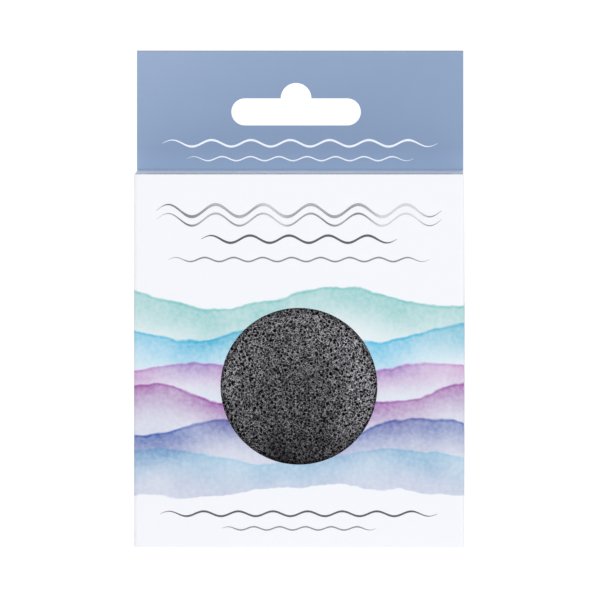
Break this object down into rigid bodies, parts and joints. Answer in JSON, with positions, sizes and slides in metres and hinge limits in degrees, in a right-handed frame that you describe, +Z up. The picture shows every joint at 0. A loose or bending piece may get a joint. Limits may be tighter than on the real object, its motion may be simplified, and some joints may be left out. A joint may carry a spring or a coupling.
{
  "type": "konjac sponge",
  "caption": "Half-ball konjac face sponge in a folding hang-tab carton with a round open window, creased lids, tuck and dust flaps.",
  "frame": {"origin": "middle of the carton's footprint, on the surface that the carton stands on", "axes": "+Z up to the hang tab, -Y out of the windowed front, +X to the right seen from the front"},
  "size_m": [0.081, 0.0396, 0.1213],
  "materials": {
    "konjac_foam": "matte",
    "white_boxboard": "satin",
    "blue_boxboard": "satin",
    "dried_adhesive": "matte"
  },
  "bodies": {
    "carton": {"front_panel": "white_boxboard", "back_panel": "white_boxboard", "left_side_panel": "white_boxboard", "right_side_panel": "white_boxboard", "seam_flap": "white_boxboard", "seam_glue": "dried_adhesive", "hang_tab_front_ply": "blue_boxboard", "hang_tab_glue": "dried_adhesive"},
    "sponge": {"konjac_sponge": "konjac_foam"},
    "top_lid": {"top_lid": "blue_boxboard"},
    "top_tuck": {"top_tuck_flap": "blue_boxboard"},
    "top_dust_left": {"top_dust_flap_left": "white_boxboard"},
    "top_dust_right": {"top_dust_flap_right": "white_boxboard"},
    "bottom_lid": {"bottom_lid": "white_boxboard"},
    "bottom_tuck": {"bottom_tuck_flap": "white_boxboard"},
    "bottom_dust_left": {"bottom_dust_flap_left": "white_boxboard"},
    "bottom_dust_right": {"bottom_dust_flap_right": "white_boxboard"}
  },
  "joints": [
    {"name": "sponge_press", "type": "slide", "parent": "carton", "child": "sponge", "axis": [0, 1, 0], "range_m": [0, 0.0032]},
    {"name": "top_lid_hinge", "type": "hinge", "parent": "carton", "child": "top_lid", "pos_m": [0, 0.0166, 0.0917], "axis": [-1, 0, 0], "range_deg": [0, 90]},
    {"name": "top_tuck_crease", "type": "hinge", "parent": "top_lid", "child": "top_tuck", "pos_m": [0, -0.0168, 0.0908], "axis": [1, 0, 0], "range_deg": [0, 45]},
    {"name": "top_dust_left_crease", "type": "hinge", "parent": "carton", "child": "top_dust_left", "pos_m": [-0.0397, 0, 0.091], "axis": [0, -1, 0], "range_deg": [0, 45]},
    {"name": "top_dust_right_crease", "type": "hinge", "parent": "carton", "child": "top_dust_right", "pos_m": [0.0397, 0, 0.091], "axis": [0, 1, 0], "range_deg": [0, 45]},
    {"name": "bottom_lid_hinge", "type": "hinge", "parent": "carton", "child": "bottom_lid", "pos_m": [0, 0.0172, 0], "axis": [1, 0, 0], "range_deg": [0, 120]},
    {"name": "bottom_tuck_crease", "type": "hinge", "parent": "bottom_lid", "child": "bottom_tuck", "pos_m": [0, -0.0168, 0.0009], "axis": [-1, 0, 0], "range_deg": [0, 60]},
    {"name": "bottom_dust_left_crease", "type": "hinge", "parent": "carton", "child": "bottom_dust_left", "pos_m": [-0.0397, 0, 0.0007], "axis": [0, 1, 0], "range_deg": [0, 60]},
    {"name": "bottom_dust_right_crease", "type": "hinge", "parent": "carton", "child": "bottom_dust_right", "pos_m": [0.0397, 0, 0.0007], "axis": [0, -1, 0], "range_deg": [0, 60]}
  ],
  "couplings": [
    {"joint": "top_tuck_crease", "follows": "top_lid_hinge", "ratio": 0.5},
    {"joint": "top_dust_left_crease", "follows": "top_lid_hinge", "ratio": 0.5},
    {"joint": "top_dust_right_crease", "follows": "top_lid_hinge", "ratio": 0.5},
    {"joint": "bottom_tuck_crease", "follows": "bottom_lid_hinge", "ratio": 0.5},
    {"joint": "bottom_dust_left_crease", "follows": "bottom_lid_hinge", "ratio": 0.5},
    {"joint": "bottom_dust_right_crease", "follows": "bottom_lid_hinge", "ratio": 0.5}
  ]
}
